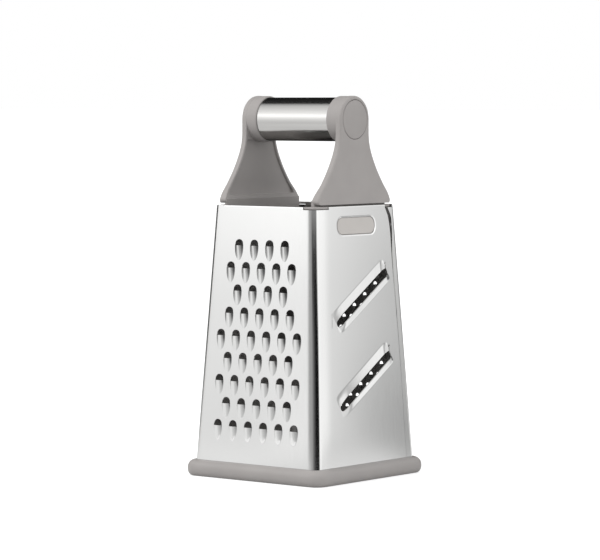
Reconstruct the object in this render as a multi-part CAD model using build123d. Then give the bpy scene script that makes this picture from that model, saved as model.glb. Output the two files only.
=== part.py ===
from build123d import *
import math
import os

# A four-sided box grater: a tapered steel body, a plastic ring under it and a tube handle over it.
# Millimetres, Z up, origin in the middle of the underside. The coarse side faces -Y, the slicing
# side +X, the fine side +Y and the rasp side -X. The handle tube runs along X.

# Steel body: outer widths at its foot and top edge, and the sheet it is pressed from
foot_width = 98.5
top_width = 79.5
body_foot_height = 3.0
body_top_height = 168.3
sheet = 0.6
corner_radius = 3.7
hem_height = 3.6

# Corner notches in the top edge: depth, and reach from the corner along each kind of wall. The notch
# over a seam is worked out below.
notch_depth = 1.9
notch_reach_on_cutting_wall = 9.4
notch_reach_on_handle_wall = 13.1

# Lap seams: width of the flange that comes round the corner, and the mouth where it opens at the top
flange_width_at_foot = 10.4
flange_width_at_top = 6.5
seam_gap = 0.2
seam_mouth_height = 17.0
seam_mouth_shift = 2.2
seam_mouth_gap = 1.6
lap_reach = 2.4
lap_bond = 1.2

# Coarse teeth: the pressed scoop and the mouth above it
coarse_rows = (4, 5, 4, 5, 6, 5, 6, 5, 6)
coarse_pitch = 12.05
coarse_row_pitch = 13.95
coarse_top_margin = 20.8
coarse_half_width = 2.85
coarse_rise = 1.4
coarse_length = 12.9
coarse_mouth = 3.9
coarse_facets = 4
hollow_facets = 2

# Fine teeth: the same tooth, small and with fewer facets
fine_pitch = 5.7
fine_row_pitch = 7.2
fine_top_margin = 20.3
fine_foot_margin = 33.0
fine_half_width = 1.4
fine_rise = 0.8
fine_length = 5.4
fine_mouth = 2.1
fine_facets = 2
fine_margin = 9.5

# Rasp points: three-sided craters that are punched outwards
rasp_pitch = 11.2
rasp_row_pitch = 10.2
rasp_top_margin = 20.3
rasp_foot_margin = 31.0
rasp_base = 1.3
rasp_hole = 0.7
rasp_burr = 0.05
rasp_rise = 0.9
rasp_margin = 8.5

# Slicing slots: a sunk ramp above the gap and a raised, ground lip below it
slot_count = 2
slot_top_margin = 56.9
slot_spacing = 51.2
slot_shift = 2.6
slot_angle = 31.0
slot_length = 60.5
slot_gap = 4.2
ramp_width = 6.6
ramp_depth = 1.3
lip_width = 4.0
lip_rise = 1.3
lip_edge = 0.15
lance_gap = 0.4

# Window near the top of each handle wall, filled by the bracket's snap tab
window_length = 38.6
window_height = 11.2
window_corner = 4.7
window_drop = 12.3
tab_clearance = 0.2

# Base ring
ring_overhang = 5.4
ring_height = 10.0
ring_corner = 9.4
ring_bevel = 2.8
ring_ledge = 4.25
ring_opening_corner = 3.0
groove_clearance = 0.2

# Handle brackets: shallow trays, open inwards, with a round boss that holds the tube
handle_rise = 52.7
bracket_setback = 0.25
boss_diameter = 29.0
boss_depth = 10.6
boss_step = 0.1
flank_top_rise = 43.7
flank_middle_rise = 22.2
flank_foot_rise = 5.9
flank_middle_half_width = 22.4
foot_half_width = 36.3
foot_gap = 0.7
tray_depth_at_foot = 6.2
tray_depth_at_boss = 4.3
tray_web = 2.2
tray_rim = 2.0
tray_ledge = 4.5
bracket_edge_bevel = 1.2

# Below each bracket: the collar that sits in the corner notches, and the tongue with the snap tab
collar_height = 1.5
collar_inset = 0.35
collar_depth = 6.0
tongue_half_width = 30.0
tongue_thickness = 2.2
tongue_length = 21.3
tongue_clearance = 0.1

# Handle tube, the plugs in its ends, the screws and the end caps
tube_diameter = 27.0
tube_wall = 0.8
tube_seat = 4.0
tube_clearance = 0.1
plug_length = 14.0
plug_core_diameter = 9.0
plug_rib_thickness = 1.6
plug_clearance = 0.2
screw_diameter = 4.0
screw_length = 13.0
screw_head_diameter = 7.6
screw_head_height = 2.4
screw_clearance = 0.25
cap_diameter = 24.0
cap_thickness = 2.0
cap_clearance = 0.2
cap_seat_depth = 4.7

# How far cutting shapes run past what they cut
overrun = 2.0

# Worked out from the sizes above
body_height = body_top_height - body_foot_height
taper = math.atan((foot_width - top_width) / 2 / body_height)
handle_axis_height = body_top_height + handle_rise
bracket_face = top_width / 2 - bracket_setback
notch_reach_on_seam_wall = flange_width_at_top + seam_mouth_shift
window_middle_height = body_top_height - window_drop
reach = foot_width


def half_width(height):
    """Half the body's outer width at a height."""
    return foot_width / 2 - (height - body_foot_height) * math.tan(taper)


def frustum(inset, low, high):
    """The body's tapered outline as a solid, drawn in by an inset square to its walls."""
    width = 2 * (half_width(low) - inset / math.cos(taper))
    block = extrude(Pos(0, 0, low) * Rectangle(width, width), high - low, taper=math.degrees(taper))
    upright = block.edges().filter_by(lambda edge: abs(edge.tangent_at(0).Z) > abs(edge.tangent_at(0).X))
    return fillet(upright, corner_radius - inset)


def wall_frame(turn):
    """Frame on a wall's outer face: x level, y up the slope from the ground, z outwards."""
    middle = Plane(
        origin=(0, -half_width(0), 0),
        x_dir=(1, 0, 0),
        z_dir=(0, -math.cos(taper), math.sin(taper)),
    )
    return Rot(0, 0, turn) * middle.location


def up_wall(height):
    """Distance up the slope at a height."""
    return height / math.cos(taper)


coarse_wall = wall_frame(0)
slicing_wall = wall_frame(90)
fine_wall = wall_frame(180)
rasp_wall = wall_frame(270)


def seam_edge(height, opening):
    """Place of a seam along its wall, where a plain seam has no opening."""
    share = (height - body_foot_height) / body_height
    width = flange_width_at_foot + (flange_width_at_top - flange_width_at_foot) * share
    return half_width(height) - width - opening


def beyond_seam(side, opening, mouth):
    """Block past the seam on one side of the body, with the seam curving away at its top."""
    low = body_foot_height - overrun
    high = body_top_height + overrun
    bend = body_top_height - seam_mouth_height
    straight = Line((seam_edge(low, opening), low), (seam_edge(bend, opening), bend))
    mouth_end = (seam_edge(bend, opening) - seam_mouth_shift - mouth, high)
    curve = TangentArc(straight @ 1, mouth_end, tangent=straight % 1)
    rest = Polyline(curve @ 1, (reach, high), (reach, low), straight @ 0)
    outline = make_face([straight, curve, rest])
    block = extrude(Plane.YZ * outline, reach)
    if side < 0:
        whole = Pos(-reach / 2, 0, (low + high) / 2) * Box(reach, 2 * reach, high - low)
        block = whole - Rot(0, 0, 180) * block
    return block


def rear_zone(opening, mouth):
    """The part of the body that the rear sheet takes, grown by an opening at its seams."""
    return beyond_seam(1, opening, mouth) + beyond_seam(-1, -opening, -mouth)


def lap_strip(wall):
    """Edge of a sheet that runs on behind the other sheet's flange."""
    low = ring_height + overrun
    high = body_top_height - seam_mouth_height - overrun
    corners = [
        (seam_edge(low, lap_bond), up_wall(low)),
        (seam_edge(low, -lap_reach), up_wall(low)),
        (seam_edge(high, -lap_reach), up_wall(high)),
        (seam_edge(high, lap_bond), up_wall(high)),
    ]
    outline = make_face(Polyline(*corners, close=True))
    return wall * Pos(0, 0, -2 * sheet) * extrude(outline, sheet)


def hem(wall, left_notch, right_notch):
    """Top edge of a wall folded down inside it, between its corner notches."""
    top = up_wall(body_top_height)
    left = -half_width(body_top_height) + left_notch
    right = half_width(body_top_height) - right_notch
    strip = Box(right - left, hem_height, sheet, align=(Align.MIN, Align.MAX, Align.MIN))
    return wall * Pos(left, top, -2 * sheet) * strip


def corner_notch(wall, left_notch, right_notch):
    """Blocks that notch both ends of a wall's top edge."""
    top = up_wall(body_top_height)
    edge = half_width(body_top_height) + overrun
    blocks = []
    for side, notch in ((-1, left_notch), (1, right_notch)):
        width = notch + overrun
        block = Box(width, notch_depth + overrun, 4 * sheet, align=(Align.CENTER, Align.MIN, Align.CENTER))
        blocks.append(wall * Pos(side * (edge - width / 2), top - notch_depth, -sheet) * block)
    return blocks


def coarse_places():
    """Level place and height of the top of every coarse tooth."""
    places = []
    for row, count in enumerate(coarse_rows):
        height = body_top_height - coarse_top_margin - row * coarse_row_pitch
        for index in range(count):
            places.append(((index - (count - 1) / 2) * coarse_pitch, up_wall(height)))
    return places


def staggered_places(top_margin, foot_margin, side_margin, row_pitch, pitch):
    """Places in staggered rows that fill a wall, clear of its top, foot and corners."""
    places = []
    rows = int((body_height - top_margin - foot_margin) / row_pitch) + 1
    for row in range(rows):
        height = body_top_height - top_margin - row * row_pitch
        room = half_width(height) - corner_radius - side_margin
        shift = row % 2 / 2
        count = int(room / pitch - shift)
        for index in range(-count - row % 2, count + 1):
            places.append(((index + shift) * pitch, up_wall(height)))
    return places


def arch(half, rise, facets):
    """Points of a half-oval arch from its right foot over to its left foot."""
    points = []
    for index in range(facets + 1):
        angle = math.pi * index / facets
        points.append((half * math.cos(angle), rise * math.sin(angle)))
    return points


def half_cone(half, rise, foot, start, end, tip_depth, facets):
    """Arched section at a start down the wall, drawn down to a point at an end."""
    section = make_face(Polyline((-half, foot), (half, foot), *arch(half, rise, facets), close=True))
    return loft([Pos(0, -start, 0) * Rot(90, 0, 0) * section, Vertex(0, -end, tip_depth)], ruled=True)


def scoop(half, rise, mouth, length, facets):
    """Pressed-out half cone below a mouth, its foot sunk in the sheet."""
    return half_cone(half, rise, -sheet / 2, mouth, length, -sheet / 2, facets)


def coarse_tooth():
    """One hollow scoop with its round-topped mouth: what it adds to the sheet and what it opens."""
    half = coarse_half_width
    outside = scoop(half, coarse_rise, coarse_mouth, coarse_length, coarse_facets)
    inside = half_cone(
        half - sheet,
        coarse_rise - sheet,
        -3 * sheet,
        coarse_mouth,
        coarse_length - 3 * sheet,
        -sheet,
        hollow_facets,
    )
    shoulder = coarse_mouth - half
    outline = [(x, y - half) for x, y in arch(half, half, coarse_facets)]
    foot = [(-half, -half - shoulder), (half, -half - shoulder)]
    mouth = make_face(Polyline(*foot, *outline, close=True))
    opening = Pos(0, 0, -2 * sheet) * extrude(mouth, 4 * sheet)
    return outside, inside, opening


def fine_tooth():
    """One small scoop and the three-cornered mouth above it."""
    half = fine_half_width
    outside = scoop(half, fine_rise, fine_mouth, fine_length, fine_facets)
    mouth = make_face(Polyline((-half, -fine_mouth), (half, -fine_mouth), (0, 0), close=True))
    return outside, Pos(0, 0, -2 * sheet) * extrude(mouth, 4 * sheet)


def rasp_point():
    """One three-sided crater, its rim a sharp burr, and the hole through it."""
    height = sheet / 2 + rasp_rise
    lean = math.degrees(math.atan((rasp_base - rasp_hole + rasp_burr) / height))
    crater = extrude(RegularPolygon(rasp_base, 3, major_radius=False, rotation=90), height, taper=lean)
    hole = RegularPolygon(rasp_hole, 3, major_radius=False, rotation=90)
    return Pos(0, 0, -sheet / 2) * crater, Pos(0, 0, -2 * sheet) * extrude(hole, 4 * sheet)


def slot_frame(height):
    """Frame of a slicing slot: x along the slot, y across it towards the ramp."""
    return slicing_wall * Pos(slot_shift, up_wall(height), 0) * Rot(0, 0, slot_angle)


def slot_window(height):
    """The opening that is lanced for one slicing slot, before its ramp and lip are bent."""
    across = ramp_width + slot_gap + lip_width
    length = slot_length + 2 * lance_gap
    window = RectangleRounded(length, across, lance_gap)
    middle = (ramp_width - lip_width) / 2
    return slot_frame(height) * Pos(0, middle, -2 * sheet) * extrude(window, 4 * sheet)


def slot_blades(height):
    """The sunk ramp and the raised lip with its ground edge, as bent strips of the sheet."""
    gap = slot_gap / 2
    ramp = Polyline(
        (gap, -ramp_depth),
        (gap, -ramp_depth - sheet),
        (gap + ramp_width, -sheet),
        (gap + ramp_width + sheet, -sheet),
        (gap + ramp_width + sheet, 0),
        (gap + ramp_width, 0),
        close=True,
    )
    lip = Polyline(
        (-gap, lip_rise),
        (-gap, lip_rise - lip_edge),
        (-gap - 2 * sheet, lip_rise - sheet - lip_edge),
        (-gap - lip_width, -sheet),
        (-gap - lip_width - sheet, -sheet),
        (-gap - lip_width - sheet, 0),
        (-gap - lip_width, 0),
        close=True,
    )
    strips = []
    for profile in (ramp, lip):
        across = Plane(origin=(-slot_length / 2, 0, 0), x_dir=(0, 1, 0), z_dir=(1, 0, 0))
        strips.append(slot_frame(height) * extrude(across * make_face(profile), slot_length))
    return strips


def window_cut(wall, clearance, low, high):
    """Rounded bar through a handle wall at its window, drawn in by a clearance."""
    outline = RectangleRounded(
        window_length - 2 * clearance, window_height - 2 * clearance, window_corner - clearance
    )
    return wall * Pos(0, up_wall(window_middle_height), low) * extrude(outline, high - low)


def body_shell():
    """Both sheets as one tapered tube with notched, hemmed top edges."""
    shell = frustum(0, body_foot_height, body_top_height)
    shell -= frustum(sheet, body_foot_height - overrun, body_top_height + overrun)
    cuts = []
    for wall, next_wall in ((coarse_wall, slicing_wall), (fine_wall, rasp_wall)):
        cuts += corner_notch(wall, 0, notch_reach_on_cutting_wall)
        cuts += corner_notch(next_wall, notch_reach_on_handle_wall, notch_reach_on_seam_wall)
    return shell - cuts


def front_sheet(shell):
    """Coarse and slicing walls, pressed from one sheet with a bend between them."""
    body = shell - rear_zone(seam_gap, seam_mouth_gap)
    add = [
        lap_strip(slicing_wall),
        hem(coarse_wall, corner_radius, notch_reach_on_cutting_wall),
        hem(slicing_wall, notch_reach_on_handle_wall, notch_reach_on_seam_wall + seam_mouth_gap),
    ]
    cut = [window_cut(slicing_wall, 0, -2 * sheet - overrun, overrun)]
    outside, inside, mouth = coarse_tooth()
    for level, up in coarse_places():
        place = coarse_wall * Pos(level, up)
        add.append(place * outside)
        cut += [place * inside, place * mouth]
    for index in range(slot_count):
        height = body_top_height - slot_top_margin - index * slot_spacing
        body -= slot_window(height)
        add += slot_blades(height)
    return body + add - cut


def rear_sheet(shell):
    """Fine and rasp walls, pressed from one sheet with a bend between them."""
    body = shell & rear_zone(0, 0)
    add = [
        lap_strip(rasp_wall),
        hem(fine_wall, corner_radius, notch_reach_on_cutting_wall),
        hem(rasp_wall, notch_reach_on_handle_wall, notch_reach_on_seam_wall + seam_mouth_gap),
    ]
    cut = [window_cut(rasp_wall, 0, -2 * sheet - overrun, overrun)]
    outside, mouth = fine_tooth()
    margins = (fine_top_margin, fine_foot_margin, fine_margin)
    for level, up in staggered_places(*margins, fine_row_pitch, fine_pitch):
        place = fine_wall * Pos(level, up)
        add.append(place * outside)
        cut.append(place * mouth)
    crater, hole = rasp_point()
    margins = (rasp_top_margin, rasp_foot_margin, rasp_margin)
    for level, up in staggered_places(*margins, rasp_row_pitch, rasp_pitch):
        place = rasp_wall * Pos(level, up)
        add.append(place * crater)
        cut.append(place * hole)
    return body + add - cut


def base_ring():
    """Blunt-nosed plastic ring with a groove that the foot of the body is pushed into."""
    width = foot_width + 2 * ring_overhang
    opening_width = foot_width - 2 * ring_ledge
    ring = extrude(RectangleRounded(width, width, ring_corner), ring_height)
    rims = ring.faces().sort_by(Axis.Z)
    ring = chamfer(rims[0].edges() + rims[-1].edges(), ring_bevel)
    opening = RectangleRounded(opening_width, opening_width, ring_opening_corner)
    ring -= Pos(0, 0, -overrun) * extrude(opening, ring_height + 2 * overrun)
    low = body_foot_height - groove_clearance
    high = ring_height + overrun
    groove = frustum(-groove_clearance, low, high) - frustum(sheet + groove_clearance, low, high)
    return ring - groove


def flank_outline(inset, foot):
    """Outline of a bracket's tray, drawn in by an inset, from a foot height up to the boss."""
    top_point = (boss_diameter / 2 - inset, body_top_height + flank_top_rise)
    middle_point = (flank_middle_half_width - inset, body_top_height + flank_middle_rise)
    foot_point = (foot_half_width - inset, body_top_height + flank_foot_rise)
    right = ThreePointArc(top_point, middle_point, foot_point)
    left = mirror(right, Plane.YZ)
    low = Polyline(right @ 1, (foot_point[0], foot), (-foot_point[0], foot), left @ 1)
    high = Polyline(left @ 0, (-top_point[0], handle_axis_height), (top_point[0], handle_axis_height), right @ 0)
    return make_face([right, low, left, high])


def along_tube(start, length, diameter):
    """Round bar on the tube's axis that runs inwards from a place along X."""
    bar = Cylinder(diameter / 2, length, align=(Align.CENTER, Align.CENTER, Align.MAX))
    return Pos(start, 0, handle_axis_height) * Rot(0, 90, 0) * bar


def bracket_tray():
    """Flared tray of the right-hand bracket with its round boss, before anything is bored."""
    foot = body_top_height + foot_gap
    outline = flank_outline(0, foot) + Pos(0, handle_axis_height) * Circle(boss_diameter / 2)
    tray = Pos(bracket_face, 0, 0) * extrude(Plane.YZ * outline, -2 * tray_depth_at_foot)
    face = tray.faces().sort_by(Axis.X)[-1]
    tray = chamfer(face.outer_wire().edges(), bracket_edge_bevel)
    rise = handle_axis_height - foot
    narrowing = tray_depth_at_foot - tray_depth_at_boss
    behind = bracket_face - 3 * tray_depth_at_foot
    slant = Polyline(
        (bracket_face - tray_depth_at_foot - narrowing, foot - rise),
        (bracket_face - tray_depth_at_boss + narrowing, foot + 2 * rise),
        (behind, foot + 2 * rise),
        (behind, foot - rise),
        close=True,
    )
    tray -= extrude(Plane.XZ * make_face(slant), foot_half_width + overrun, both=True)
    pocket = Plane.YZ * flank_outline(tray_rim, foot + tray_ledge)
    tray -= Pos(bracket_face - tray_web, 0, 0) * extrude(pocket, -3 * tray_depth_at_foot)
    shank = along_tube(bracket_face - tray_web / 2, boss_depth - tray_web / 2, boss_diameter - 2 * boss_step)
    return tray + shank


def bracket_collar():
    """Thin collar under the foot that fills the corner notches and stands inside the top edge."""
    low = body_top_height - notch_depth + collar_inset
    high = low + collar_height
    plate = frustum(collar_inset, low, high)
    inner = half_width(body_top_height) - collar_depth
    plate &= Pos(inner, 0, low) * Box(
        reach, reach, collar_height, align=(Align.MIN, Align.CENTER, Align.MIN)
    )
    sunk = 2 * sheet + tongue_clearance
    inside = frustum(sunk, low - overrun, high + overrun)
    edge = half_width(body_top_height)
    level = frustum(-overrun, low, high) - inside
    straight = Pos(0, -edge + notch_reach_on_handle_wall, low)
    middle_length = 2 * edge - notch_reach_on_handle_wall - notch_reach_on_seam_wall
    handle_side = straight * Box(
        reach, middle_length, collar_height, align=(Align.MIN, Align.MIN, Align.MIN)
    )
    front_side = Pos(edge - notch_reach_on_cutting_wall, 0, low) * Box(
        reach, reach, collar_height, align=(Align.MAX, Align.MAX, Align.MIN)
    )
    back_side = Pos(0, edge - corner_radius, low) * Box(
        2 * reach, reach, collar_height, align=(Align.CENTER, Align.MIN, Align.MIN)
    )
    for side in (handle_side, front_side, back_side):
        plate -= level & side
    return plate


def bracket_tongue():
    """Tongue that reaches down inside the handle wall, with the tab that snaps into its window."""
    depth = 2 * sheet + tongue_clearance
    low = up_wall(body_top_height - tongue_length)
    high = up_wall(body_top_height + foot_gap + overrun)
    blade = Box(
        2 * tongue_half_width,
        high - low,
        tongue_thickness,
        align=(Align.CENTER, Align.MIN, Align.MAX),
    )
    blade = slicing_wall * Pos(0, low, -depth) * blade
    tab = window_cut(slicing_wall, tab_clearance, -depth - tongue_thickness / 2, 0)
    return blade + tab


def handle_bracket():
    """Right-hand bracket: tray, boss, collar and tongue in one moulding."""
    bracket = bracket_tray() + bracket_collar() + bracket_tongue()
    seat_diameter = cap_diameter + 2 * cap_clearance
    bracket -= along_tube(bracket_face + overrun, overrun + cap_seat_depth, seat_diameter)
    bracket -= along_tube(bracket_face, boss_depth, screw_diameter + 2 * screw_clearance)
    inner_end = bracket_face - boss_depth
    bore_diameter = tube_diameter + 2 * tube_clearance
    return bracket - along_tube(inner_end + tube_seat, tube_seat + overrun, bore_diameter)


tube_half_length = bracket_face - boss_depth + tube_seat - tube_clearance


def grip_tube():
    """Steel tube between the two bosses."""
    outer = along_tube(tube_half_length, 2 * tube_half_length, tube_diameter)
    inner_diameter = tube_diameter - 2 * tube_wall
    inner = along_tube(tube_half_length + overrun, 2 * (tube_half_length + overrun), inner_diameter)
    return outer - inner


def tube_plug():
    """Moulded plug in the right-hand end of the tube: four ribs round a core for the screw."""
    plug = along_tube(tube_half_length, plug_length, plug_core_diameter)
    rib = Box(
        plug_length,
        plug_rib_thickness,
        tube_diameter - 2 * tube_wall - 2 * plug_clearance,
        align=(Align.MAX, Align.CENTER, Align.CENTER),
    )
    for turn in (0, 90):
        plug += Pos(tube_half_length, 0, handle_axis_height) * Rot(turn, 0, 0) * rib
    return plug - along_tube(tube_half_length + overrun, plug_length + 2 * overrun, screw_diameter)


def handle_screw():
    """Flat-headed screw of the right-hand side, its head on the floor of the cap's seat."""
    floor = bracket_face - cap_seat_depth
    screw = along_tube(floor + screw_head_height, screw_head_height, screw_head_diameter)
    return screw + along_tube(floor, screw_length, screw_diameter)


def end_cap():
    """Flat disc that closes the right-hand boss over its screw."""
    return along_tube(bracket_face, cap_thickness, cap_diameter)


def other_side(shape):
    """The same piece turned half round for the left-hand side."""
    return Rot(0, 0, 180) * shape


os.makedirs("parts", exist_ok=True)
shell = body_shell()
bracket = handle_bracket()
plug = tube_plug()
screw = handle_screw()
cap = end_cap()
parts = {
    "coarse_slicing_sheet": front_sheet(shell),
    "fine_rasp_sheet": rear_sheet(shell),
    "base_ring": base_ring(),
    "handle_bracket_right": bracket,
    "handle_bracket_left": other_side(bracket),
    "grip_tube": grip_tube(),
    "tube_plug_right": plug,
    "tube_plug_left": other_side(plug),
    "handle_screws": Compound([screw, other_side(screw)]),
    "end_cap_right": cap,
    "end_cap_left": other_side(cap),
}
for name, shape in parts.items():
    export_step(shape, f"parts/{name}.step")
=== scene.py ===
"""Box grater: pressed steel body on a plastic ring, steel tube handle in plastic brackets."""

import math
import random

import bmesh
import bpy
from mathutils import Matrix, Vector
from mathutils.geometry import delaunay_2d_cdt


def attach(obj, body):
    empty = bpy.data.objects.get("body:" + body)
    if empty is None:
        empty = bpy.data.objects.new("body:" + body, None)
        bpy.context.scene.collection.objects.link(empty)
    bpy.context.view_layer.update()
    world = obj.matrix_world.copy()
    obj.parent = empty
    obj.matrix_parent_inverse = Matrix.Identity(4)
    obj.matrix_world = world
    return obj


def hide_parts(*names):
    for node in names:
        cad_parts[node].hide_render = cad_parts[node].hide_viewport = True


bl_info = {
    "name": "Box Grater",
    "version": (1, 0, 0),
    "blender": (4, 5, 0),
    "location": "View3D > Sidebar > Grater",
    "description": "Builds a four-sided box grater piece by piece, on a white studio stage",
    "category": "Add Mesh",
}

MM = 0.001

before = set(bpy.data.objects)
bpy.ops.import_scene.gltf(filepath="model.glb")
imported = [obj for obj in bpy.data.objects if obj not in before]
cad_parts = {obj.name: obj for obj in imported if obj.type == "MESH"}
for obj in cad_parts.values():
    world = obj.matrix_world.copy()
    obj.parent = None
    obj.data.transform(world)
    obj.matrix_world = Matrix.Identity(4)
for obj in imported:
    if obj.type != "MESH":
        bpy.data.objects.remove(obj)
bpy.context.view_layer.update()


def linear(code):
    """A colour written as #RRGGBB, turned into linear light."""
    shares = [int(code[i : i + 2], 16) / 255 for i in (1, 3, 5)]
    return [c / 12.92 if c <= 0.04045 else ((c + 0.055) / 1.055) ** 2.4 for c in shares]


def length(name, description, millimetres):
    """A size in the panel, given in millimetres and kept in metres."""
    return bpy.props.FloatProperty(
        name=name,
        description=description,
        default=millimetres * MM,
        min=0.0,
        unit="LENGTH",
        precision=5,
    )


def angle(name, description, degrees):
    """An angle in the panel, given in degrees."""
    return bpy.props.FloatProperty(
        name=name, description=description, default=math.radians(degrees), subtype="ANGLE"
    )


def tint(name, description, code):
    """A colour in the panel."""
    return bpy.props.FloatVectorProperty(
        name=name, description=description, default=linear(code), subtype="COLOR", min=0.0, max=1.0
    )


def share(name, description, value, high=1.0):
    """A plain number in the panel."""
    return bpy.props.FloatProperty(
        name=name, description=description, default=value, min=0.0, max=high
    )


class GraterBody(bpy.types.PropertyGroup):
    """Sizes of the steel body"""

    foot_width: length("Foot width", "Outer width of the steel at its foot", 98.5)
    top_width: length("Top width", "Outer width of the steel at its top edge", 79.5)
    foot_height: length("Foot height", "Height of the steel's foot over the table", 3.0)
    top_height: length("Top height", "Height of the steel's top edge over the table", 168.3)
    sheet: length("Sheet", "Thickness of the steel", 0.6)
    bend: length("Bend radius", "Outer radius of the upright bends beside a seam", 3.3)
    wide_bend: length("Wide bend radius", "Outer radius of the two other bends at the top", 4.1)
    wide_bend_at_foot: length("Wide bend at foot", "Their outer radius at the foot", 5.6)
    ease: length("Ease", "Strip of a cutting wall that turns towards its bend", 3.6)
    ease_turn: angle("Ease turn", "How far it has turned where the bend starts", 5.0)
    crown: length("Crown", "Strip of a handle wall that turns towards its bend", 11.0)
    crown_turn: angle("Crown turn", "How far it has turned where the bend starts", 6.0)
    hem: length("Hem", "Depth of the top edge's inward fold", 3.6)
    notch: length("Notch depth", "Depth of the corner notches in the top edge", 1.9)
    notch_on_cutting_wall: length("Notch, cutting walls", "Reach from the corner", 9.4)
    notch_on_handle_wall: length("Notch, handle walls", "Reach from the corner", 13.1)
    window_length: length("Window length", "Length of the window for the snap tab", 37.4)
    window_height: length("Window height", "Height of the window for the snap tab", 10.7)
    window_corner: length("Window corner", "Corner radius of the window", 4.9)
    window_drop: length("Window drop", "From the top edge down to the window's middle", 12.3)


class GraterTeeth(bpy.types.PropertyGroup):
    """Sizes of the teeth and slots"""

    coarse_pitch: length("Coarse pitch", "Between coarse teeth of a row", 12.05)
    coarse_row_pitch: length("Coarse row pitch", "Between rows of coarse teeth", 13.95)
    coarse_width: length("Coarse width", "Width of a coarse scoop", 6.35)
    coarse_rise: length("Coarse rise", "How far a coarse lip stands out", 1.5)
    coarse_length: length("Coarse length", "Mouth and scoop together", 12.9)
    coarse_mouth: length("Coarse mouth", "Height of a coarse mouth", 3.9)
    fine_pitch: length("Fine pitch", "Between fine teeth of a row", 5.7)
    fine_row_pitch: length("Fine row pitch", "Between rows of fine teeth", 7.2)
    fine_width: length("Fine width", "Width of a fine scoop", 2.8)
    fine_rise: length("Fine rise", "How far a fine lip stands out", 0.8)
    fine_length: length("Fine length", "Mouth and scoop together", 5.4)
    fine_mouth: length("Fine mouth", "Height of a fine mouth", 2.1)
    rasp_pitch: length("Rasp pitch", "Between craters of a row", 11.2)
    rasp_row_pitch: length("Rasp row pitch", "Between rows of craters", 10.2)
    rasp_base: length("Rasp base", "Inner radius of a crater's three-sided foot", 1.3)
    rasp_hole: length("Rasp hole", "Inner radius of its three-sided hole", 0.7)
    rasp_rise: length("Rasp rise", "Height of a crater's burr", 0.9)
    slot_angle: angle("Slot angle", "Slope of the slots", 31.0)
    slot_length: length("Slot length", "Length of a slot's opening", 60.5)
    slot_gap: length("Slot gap", "Height of a slot's opening", 4.2)
    slot_spacing: length("Slot spacing", "Between the two slots, up the wall", 51.2)
    ramp_width: length("Ramp width", "Sunk strip above the opening", 7.2)
    ramp_depth: length("Ramp depth", "How deep it sinks", 1.3)
    lip_width: length("Lip width", "Raised strip below the opening", 4.3)
    lip_rise: length("Lip rise", "How far it stands out", 1.3)


class GraterHandle(bpy.types.PropertyGroup):
    """Sizes of the plastic ring and the handle"""

    ring_overhang: length("Ring overhang", "How far the ring stands out past the steel's foot", 5.4)
    ring_height: length("Ring height", "Height of the ring", 10.0)
    ring_corner: length("Ring corner", "Outer corner radius of the ring", 9.4)
    ring_ledge: length("Ring ledge", "How far the ring reaches in past the steel's foot", 4.25)
    axis_rise: length("Axis rise", "From the body's top edge up to the tube's axis", 52.7)
    face_setback: length("Face setback", "From the body's top width in to the bracket's face", 0.25)
    boss_diameter: length("Boss diameter", "Round head of a bracket", 29.0)
    boss_depth: length("Boss depth", "From the bracket's face to the boss's inner end", 11.8)
    foot_gap: length("Foot gap", "Dark gap between a bracket and the steel", 0.95)
    depth_at_foot: length("Depth at foot", "Thickness of a bracket over the steel", 6.2)
    depth_at_boss: length("Depth at boss", "Thickness of a bracket above its foot", 4.25)
    web: length("Web", "Thickness of a bracket's face", 3.1)
    rim: length("Rim", "Width of the rim round the hollow side", 2.0)
    ledge: length("Ledge", "Height of the solid foot under the hollow", 4.5)
    edge_round: length("Edge round", "Rounding of a bracket's outer edge", 1.6)
    tube_diameter: length("Tube diameter", "Outer diameter of the handle tube", 27.0)
    tube_wall: length("Tube wall", "Thickness of the tube's wall", 0.8)
    cap_diameter: length("Cap diameter", "Disc in a bracket's face", 24.0)


class GraterFinish(bpy.types.PropertyGroup):
    """Colours and gloss"""

    steel: tint("Steel", "Bright rolled stainless sheet", "#F2F2F1")
    steel_gloss: share("Steel roughness", "Blur of the sheet's reflection", 0.13)
    # partly painted shade: the inner side is darker than the outer steel for its duller mill finish
    # and, beyond that, for the shade inside the body
    inside: tint("Steel inside", "Dull inner side of the sheet", "#B2B1AF")
    inside_gloss: share("Inside roughness", "Blur of the inner side's reflection", 0.36)
    tube: tint("Tube steel", "Brushed stainless tube", "#D0CFCD")
    tube_gloss: share("Tube roughness", "Blur of the tube's reflection", 0.17)
    plastic: tint("Plastic", "Moulded grey plastic", "#9C9896")
    # painted light: the tabs are of the bracket's own plastic; their lighter colour stands in for
    # the light that falls on them
    tab: tint("Tab", "Smooth face of the snap tabs, of the same plastic", "#BFBBB7")
    plug: tint("Plug plastic", "Moulded dark plastic inside the tube", "#3C3C3E")


class GraterStage(bpy.types.PropertyGroup):
    """Light and camera"""

    camera: bpy.props.FloatVectorProperty(
        name="Camera",
        description="Place of the camera",
        default=(1.1691, -1.4609, 0.2319),
        subtype="TRANSLATION",
        unit="LENGTH",
    )
    aim: bpy.props.FloatVectorProperty(
        name="Aim",
        description="Point in the middle of the picture",
        default=(-0.00242, -0.00194, 0.12104),
        subtype="TRANSLATION",
        unit="LENGTH",
    )
    lens: share("Lens", "Focal length in millimetres on a 36 mm wide sensor", 180.6, 500.0)
    sky: share("Sky", "Level of the even light all round", 0.95, 10.0)
    key: share("Key light", "Power of the big soft light, in watts", 30.0, 1000.0)
    fill: share("Fill light", "Power of the smaller soft light on the right, in watts", 6.4, 1000.0)
    tent: share("Tent", "Brightness of the white that the steel reflects", 1.0, 10.0)


# ---------------------------------------------------------------- meshes


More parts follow.
